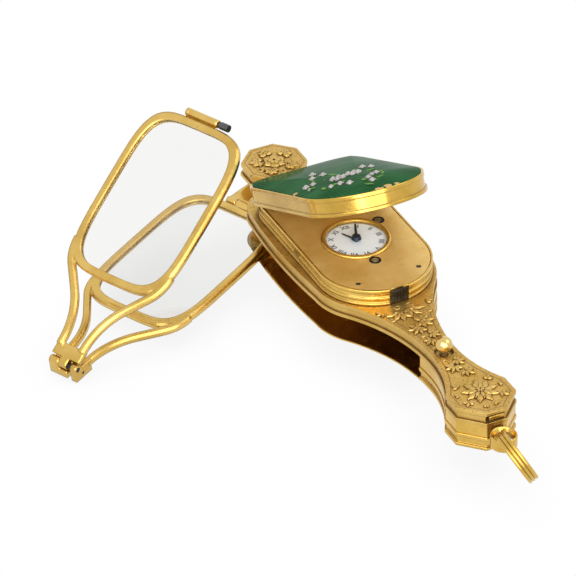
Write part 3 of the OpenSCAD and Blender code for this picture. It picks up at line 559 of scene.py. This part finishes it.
neckLeaves = (
    fan(0.2, -12.5, 105, 7, 250, 3.3, 1.05, 2.1) + fan(0.2, -12.5, 100, 5, 180, 1.5, 0.75, 3.0)
    + fan(-1.5, -13.2, 250, 6, 210, 2.9, 1.0, 2.1) + fan(-1.5, -13.2, 250, 4, 150, 1.3, 0.7, 3.0)
    + fan(0.6, -17.0, 100, 7, 240, 2.6, 0.9, 2.1) + fan(0.6, -17.0, 100, 4, 150, 1.2, 0.65, 3.0)
    + fan(-0.7, -18.8, 250, 6, 220, 2.2, 0.8, 2.1) + fan(-0.7, -18.8, 250, 4, 150, 1.0, 0.6, 3.0)
    + fan(0.5, -21.3, 110, 6, 220, 1.8, 0.7, 2.1) + fan(-0.5, -23.2, 240, 5, 200, 1.6, 0.65, 2.1)
    + fan(0.5, -30.4, 125, 6, 220, 1.8, 0.7, 2.1) + fan(-0.5, -31.9, 240, 6, 210, 2.0, 0.75, 2.1)
    + fan(0.6, -33.9, 140, 5, 190, 1.8, 0.7, 2.1)
    + fan(-4.3, -11.9, 280, 4, 140, 1.5, 0.65, 2.0) + fan(4.2, -11.9, 75, 4, 140, 1.4, 0.65, 2.0))


def leafEnd(spot):
    return spot[1] + spot[3] * math.cos(math.radians(spot[2]))


# none reaches under the catch or the lid
leafLimits = {"catchHalf": 3, "catchY": -11.8, "lidY": -10.9}
neckLeaves = [spot for spot in neckLeaves if leafEnd(spot) <
              (leafLimits["catchY"] if abs(spot[0]) < leafLimits["catchHalf"] else leafLimits["lidY"])]
neckSpray = placeLeaves(leafPattern, "neckLeaves", neckLeaves, topOfCase)
finishPiece(neckSpray, cutGold, "case")

roseMiddle = (-0.1, 40.9)
medallionLeaves = ring(*roseMiddle, 6, 20, 1.9, 1.6, 2.4, 0.35) + ring(*roseMiddle, 6, 50, 1.2, 1.1, 3.4, 0.1)
medallionLeaves += (fan(-2.7, 41.9, -70, 5, 190, 1.9, 1.15, 2.3) + fan(-1.7, 38.6, -150, 5, 170, 1.8, 1.1, 2.3)
                    + fan(2.0, 38.7, 130, 5, 180, 1.9, 1.15, 2.3) + fan(2.5, 42.4, 60, 5, 180, 1.9, 1.15, 2.3)
                    + fan(-0.4, 43.6, -10, 5, 160, 1.8, 1.1, 2.3))
medallionSpray = placeLeaves(leafPattern, "medallionLeaves", medallionLeaves, topOfCase)
finishPiece(medallionSpray, cutGold, "case")
print("leaves cut")


def scrollStem(name, spots, sizes):
    # each spot: across, along and heading of the eye, its radius, and the way it winds
    stems = []
    for x, y, heading, radius, hand in spots:
        curve = bpy.data.curves.new(name, "CURVE")
        curve.dimensions = "3D"
        curve.bevel_depth = sizes["thick"] * mm
        curve.bevel_resolution = 3
        curve.use_fill_caps = True
        spline = curve.splines.new("NURBS")
        spline.points.add(sizes["steps"])
        for i, point in enumerate(spline.points):
            share = i / sizes["steps"]
            turn = math.radians(heading) + hand * share * sizes["turns"] * 2 * math.pi
            reach = radius * (1 - sizes["wind"] * share)
            point.co = ((x + reach * math.sin(turn)) * mm, (y + reach * math.cos(turn)) * mm,
                        topOfCase(x, y) * mm, 1)
            point.radius = sizes["thin"] + sizes["stout"] * share
        spline.use_endpoint_u = True
        spline.order_u = 4
        stem = bpy.data.objects.new(name, curve)
        bpy.context.collection.objects.link(stem)
        stem = curveToMesh(stem)
        stems.append(stem)
        deselectAll()
        tip = stem.data.vertices[-1].co
        bpy.ops.mesh.primitive_uv_sphere_add(segments=16, ring_count=8, radius=radius * sizes["eye"] * mm,
                                             location=(tip.x, tip.y, topOfCase(x, y) * mm))
        eye = bpy.context.view_layer.objects.active
        placeInMesh(eye)
        startEdit(eye)
        bpy.ops.mesh.select_all(action="SELECT")
        bpy.ops.transform.resize(value=(1, 1, sizes["eyeFlat"]))
        endEdit()
        stems.append(eye)
    scrolls = joinPieces(stems, name)
    outwardFaces(scrolls)
    smoothEdges(scrolls, 60)
    return scrolls


scrollSizes = {"thick": 0.24, "steps": 22, "turns": 1.1, "wind": 0.72, "thin": 0.45, "stout": 0.75,
               "eye": 0.36, "eyeFlat": 0.7}
neckScrolls = scrollStem("neckScrolls", [
    (1.2, -11.5, 200, 0.85, 1), (-1.2, -11.5, 160, 0.85, -1), (3.6, -14.6, 150, 0.6, -1),
    (-3.6, -14.6, 210, 0.6, 1), (1.1, -21.2, 200, 0.5, 1), (-1.1, -21.2, 160, 0.5, -1),
    (1.25, -29.2, 170, 0.5, -1), (-1.25, -29.2, 190, 0.5, 1)], scrollSizes)
finishPiece(neckScrolls, cutGold, "case")
medallionScrolls = scrollStem("medallionScrolls", [
    (-3.4, 39.5, 30, 0.75, -1), (-3.3, 42.9, 150, 0.75, 1), (2.9, 37.9, 0, 0.75, 1),
    (3.6, 43.4, 200, 0.7, -1), (0.2, 37.3, 40, 0.7, -1), (-0.9, 44.9, 200, 0.6, 1)], scrollSizes)
finishPiece(medallionScrolls, cutGold, "case")
print("scrolls cut")


def arcPoints(x, y, reach, first, last, steps):
    return [(x + reach * math.cos(first + (last - first) * i / steps),
             y + reach * math.sin(first + (last - first) * i / steps)) for i in range(steps + 1)]


def edgeLine(name, sizes):
    # a line engraved beside the edge of the handle, drawn on its outline's own arcs as a dark strip of painted
    # shade in place of the cut groove
    inset, endHalf, headHalf, cut = sizes["inset"], sizes["endHalf"], sizes["headHalf"], sizes["cut"]
    headCut = math.atan2(cut, headHalf - endHalf)
    headX, headReach = sizes["neckHalf"] + sizes["headHollow"], sizes["headHollow"] + inset
    rise = sizes["shoulderY"] - sizes["neckY"]
    hollow = ((sizes["neckHalf"] ** 2 + rise ** 2 - sizes["shoulder"] ** 2)
              / (2 * (sizes["shoulder"] - sizes["neckHalf"])))
    right = [(endHalf - inset * math.tan(headCut / 2), sizes["nearY"] + inset),
             (headHalf - inset, sizes["nearY"] + cut + inset * math.tan((math.pi / 2 - headCut) / 2))]
    right += arcPoints(headX, sizes["neckY"], headReach, -math.acos((headHalf - inset - headX) / headReach),
                       -math.pi, 40)
    shoulderX = sizes["neckHalf"] + hollow
    right += [at for at in arcPoints(shoulderX, sizes["neckY"], hollow + inset, math.pi,
                                     math.atan2(rise, -shoulderX), 60) if at[1] < sizes["stopY"]]
    points = [(-x, y) for x, y in reversed(right)] + right
    curve = bpy.data.curves.new(name, "CURVE")
    curve.dimensions = "3D"
    curve.bevel_depth = sizes["thick"] * mm
    curve.bevel_resolution = 2
    curve.use_fill_caps = True
    spline = curve.splines.new("POLY")
    spline.points.add(len(points) - 1)
    for point, (x, y) in zip(spline.points, points):
        point.co = (x * mm, y * mm, sizes["z"] * mm, 1)
    line = bpy.data.objects.new(name, curve)
    bpy.context.collection.objects.link(line)
    line = curveToMesh(line)
    outwardFaces(line)
    return line


handleLineSizes = {"inset": 1.0, "thick": 0.075, "z": 7.965, "nearY": -46.8, "neckY": -26.3, "shoulderY": 0.55,
                   "endHalf": 2, "headHalf": 5.9, "cut": 4.0, "neckHalf": 2.5, "headHollow": 24.0,
                   "shoulder": 11.5, "stopY": -11.0}
handleLine = edgeLine("handleBorderLine", handleLineSizes)
finishPiece(handleLine, darkLine, "case")


def ringLine(name, sizes):
    # a flat ring or polygon line, engraved, printed or painted: a disc is inset, opened and raised a little
    deselectAll()
    bpy.ops.mesh.primitive_circle_add(vertices=sizes["corners"], radius=sizes["reach"] * mm, fill_type="NGON",
                                      location=(sizes["x"] * mm, sizes["y"] * mm, (sizes["z"] - sunk) * mm),
                                      rotation=(0, 0, math.pi / sizes["corners"]))
    line = bpy.context.view_layer.objects.active
    placeInMesh(line)
    line.name = name
    startEdit(line, "FACE")
    bpy.ops.mesh.select_all(action="SELECT")
    bpy.ops.mesh.inset(thickness=sizes["width"] * mm)
    bpy.ops.mesh.delete(type="FACE")
    bpy.ops.mesh.select_all(action="SELECT")
    bpy.ops.mesh.extrude_region_move(TRANSFORM_OT_translate={"value": (0, 0, (sunk + sizes["raise"]) * mm)})
    bpy.ops.mesh.select_all(action="SELECT")
    bpy.ops.mesh.normals_make_consistent(inside=False)
    endEdit()
    return line


# the medallion's border line is a dark ring of painted shade in place of the cut groove
medallionLineSizes = {"corners": 8, "x": 0, "reach": 5.6, "y": 40.98, "z": 8.0, "width": 0.1, "raise": 0.012}
medallionLine = ringLine("medallionBorderLine", medallionLineSizes)
finishPiece(medallionLine, darkLine, "case")
print("border lines cut")


# dial

def dialNumerals(name, sizes):
    words = ["XII", "I", "II", "III", "IIII", "V", "VI", "VII", "VIII", "IX", "X", "XI"]
    numerals = []
    for hour, word in enumerate(words):
        deselectAll()
        bpy.ops.object.text_add(location=(0, 0, 0))
        numeral = bpy.context.view_layer.objects.active
        numeral.data.body = word
        numeral.data.align_x = "CENTER"
        numeral.data.align_y = "CENTER"
        numeral.data.size = sizes["height"] * mm
        numeral.data.extrude = sizes["raise"] * mm
        numeral.data.offset = sizes["stout"] * mm
        numeral = curveToMesh(numeral)
        turn = math.radians(30 * hour)
        numeral.location = (sizes["reach"] * math.sin(turn) * mm,
                            (sizes["dialY"] + sizes["reach"] * math.cos(turn)) * mm, sizes["face"] * mm)
        numeral.rotation_euler = (0, 0, -turn)
        placeInMesh(numeral)
        numerals.append(numeral)
    return joinPieces(numerals, name)


numeralSizes = {"height": 1.4, "reach": 4.5, "raise": 0.012, "stout": 0.03, "dialY": 7.15, "face": 10.855}
numerals = dialNumerals("dialNumerals", numeralSizes)
finishPiece(numerals, numeralPaint, "case")


trackSizes = {"corners": 120, "x": 0, "reach": 5.38, "y": 7.15, "z": 10.85, "width": 0.05, "raise": 0.006}
track = ringLine("minuteTrack", trackSizes)
finishPiece(track, numeralPaint, "case")
# painted shade: a black ring laid on the plate round each arbor hole stands in for the shade down the hole
holeShadeSizes = {"corners": 40, "reach": 1.1, "z": 11.15, "width": 0.38, "raise": 0.03}
for holeShadeName, wellX, wellY in (("windingHoleShade", 6.3, 10.85), ("settingHoleShade", 0, -0.35)):
    finishPiece(ringLine(holeShadeName, dict(holeShadeSizes, x=wellX, y=wellY)), paintedHoleShade, "case")
print("dial painted")


# painted leaves on the lid

domeSizes = {"edgeZ": 3.55, "crown": 1.15, "edgeR": 10.85, "middleY": 0.55, "farY": 29.8, "sunk": 0.015}


def enamelHeight(x, y):
    crown, edge = domeSizes["crown"], domeSizes["edgeR"]
    length = domeSizes["farY"] - domeSizes["middleY"]
    across = (edge * edge + crown * crown) / (2 * crown)
    along = (length * length + crown * crown) / (2 * crown)
    near = math.hypot(x, min(0, y - domeSizes["middleY"]))
    far = max(0, y - domeSizes["middleY"])
    return domeSizes["edgeZ"] + crown - max(across - math.sqrt(across ** 2 - near ** 2),
                                            along - math.sqrt(along ** 2 - far ** 2)) - domeSizes["sunk"]


paintSpots = [
    (-0.6, -2.4, 200, 2.4, 0.9, 0.3), (-2.0, -5.9, 165, 2.6, 0.9, 0.3), (3.2, -2.4, 20, 2.6, 0.8, 0.3),
    (2.2, -1.0, 60, 2.6, 0.9, 0.3), (-2.9, 0.4, 250, 2.0, 0.9, 0.3), (-4.7, 0.9, 215, 2.2, 0.9, 0.3),
    (-5.6, 8.4, 20, 2.2, 1.0, 0.3), (-4.4, 7.0, 65, 2.2, 0.9, 0.3), (-7.2, 4.0, 250, 2.2, 0.9, 0.3),
    (1.8, 5.6, 15, 2.4, 0.9, 0.3), (2.6, 3.6, 75, 2.2, 0.9, 0.3), (-1.2, 8.0, 340, 2.6, 0.9, 0.3),
    (-0.8, -5.0, 120, 2.0, 0.8, 0.3), (1.0, -4.2, 75, 2.0, 0.8, 0.3), (-6.9, 1.4, 200, 2.4, 0.9, 0.3)]
lidLeaves = placeLeaves(leafPattern, "paintedLidLeaves", paintSpots, enamelHeight)
lidPlace = (Matrix.Translation((0, hingeY * mm, hingeZ * mm)) @ Matrix.Rotation(-lidTurn, 4, "X")
            @ Matrix.Translation((0, -hingeY * mm, 0)))
lidLeaves.matrix_world = lidPlace
placeInMesh(lidLeaves)
finishPiece(lidLeaves, leafPaint, "lid")
bpy.data.objects.remove(leafPattern)
print("lid painted")


# floor, light and camera

def whiteRays(tree):
    # what the camera, metal and glass see is white
    seen = addNode(tree, "ShaderNodeLightPath")
    shown = mathOf(tree, "MAXIMUM", seen.outputs["Is Camera Ray"], seen.outputs["Is Glossy Ray"])
    return mathOf(tree, "MAXIMUM", shown, seen.outputs["Is Transmission Ray"])


def mixShaders(tree, factor, first, second, out):
    mix = addNode(tree, "ShaderNodeMixShader")
    tree.links.new(factor, mix.inputs["Fac"])
    tree.links.new(first, mix.inputs[1])
    tree.links.new(second, mix.inputs[2])
    tree.links.new(mix.outputs["Shader"], out.inputs["Surface"])


def studioFloor(sizes):
    deselectAll()
    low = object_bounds()[0][2]
    bpy.ops.mesh.primitive_plane_add(size=sizes["side"], location=(0, 0, low - sizes["below"] * mm))
    floor = bpy.context.view_layer.objects.active
    floor.name = "paleFloor"
    material, tree, shader = newMaterial("paleFloor")
    shader.inputs["Base Color"].default_value = sizes["floor"]
    shader.inputs["Roughness"].default_value = sizes["floorRough"]
    floor.data.materials.append(material)
    return floor


def paleBackground(sizes):
    world = bpy.data.worlds.new("paleStudio")
    bpy.context.scene.world = world
    world.use_nodes = True
    tree = world.node_tree
    tree.nodes.clear()
    out = addNode(tree, "ShaderNodeOutputWorld")
    either = whiteRays(tree)
    soft = addNode(tree, "ShaderNodeBackground")
    soft.inputs["Color"].default_value = (1, 1, 1, 1)
    soft.inputs["Strength"].default_value = sizes["fill"]
    white = addNode(tree, "ShaderNodeBackground")
    white.inputs["Color"].default_value = (1, 1, 1, 1)
    white.inputs["Strength"].default_value = 1.0
    mixShaders(tree, either, soft.outputs["Background"], white.outputs["Background"], out)


def whitenFloor(floor, sizes):
    # the floor shows white to the eye and in metal and glass, less a shadow painted in where the object is
    # near
    tree = floor.data.materials[0].node_tree
    out = next(node for node in tree.nodes if node.type == "OUTPUT_MATERIAL")
    either = whiteRays(tree)
    # painted shadow: the glow is greyed where occlusion finds the object close by
    near = addNode(tree, "ShaderNodeAmbientOcclusion", samples=sizes["shadowSamples"])
    near.inputs["Distance"].default_value = sizes["shadowReach"] * mm
    shadow = rangeOf(tree, near.outputs["AO"], 0.2, 0.95, sizes["shadow"], 0.0)
    grey = mixColour(tree, shadow, (1, 1, 1, 1), sizes["shadowColour"])
    glow = addNode(tree, "ShaderNodeEmission")
    tree.links.new(grey, glow.inputs["Color"])
    mixShaders(tree, either, shaderOf(tree).outputs["BSDF"], glow.outputs["Emission"], out)


def softLamp(name, sizes):
    deselectAll()
    bpy.ops.object.light_add(type="AREA", location=sizes["place"])
    lamp = bpy.context.view_layer.objects.active
    lamp.name = name
    lamp.data.energy = sizes["power"]
    lamp.data.size = sizes["side"]
    lamp.rotation_euler = (-Vector(sizes["place"])).to_track_quat("-Z", "Y").to_euler()


studio = {"side": 6.0, "below": 0.1, "floor": (0.9, 0.9, 0.9, 1), "floorRough": 0.8, "fill": 0.7,
          "shadow": 0.18, "shadowReach": 12.0, "shadowSamples": 8, "shadowColour": (0.35, 0.34, 0.33, 1)}
floor = studioFloor(studio)
paleBackground(studio)
whitenFloor(floor, studio)
softLamp("keyLamp", {"place": (-0.75, -0.75, 0.75), "power": 9.0, "side": 1.2})
softLamp("lowLamp", {"place": (-0.2, -1.1, 0.4), "power": 11.0, "side": 1.2})
softLamp("fillLamp", {"place": (0.8, -0.3, 0.9), "power": 3.0, "side": 0.8})
print("studio lit")

camera = {"place": (-0.317062, -0.632052, 0.494366), "right": (0.8923213, -0.4513894, -0.0032235),
          "up": (0.2585703, 0.5052708, 0.8233121), "ahead": (0.3700056, 0.7354924, -0.5675798),
          "lens": 300.445, "sensor": 36, "shift": (-0.1578, -0.0160), "near": 0.01}
deselectAll()
bpy.ops.object.camera_add()
eye = bpy.context.view_layer.objects.active
eye.name = "photoCamera"
turned = Matrix((camera["right"], camera["up"], tuple(-v for v in camera["ahead"]))).transposed()
eye.matrix_world = Matrix.Translation(camera["place"]) @ turned.to_4x4()
eye.data.sensor_width = camera["sensor"]
eye.data.lens = camera["lens"]
eye.data.shift_x, eye.data.shift_y = camera["shift"]
eye.data.clip_start = camera["near"]
bpy.context.scene.camera = eye
bpy.context.scene.view_settings.view_transform = "Standard"

print("scene ready")
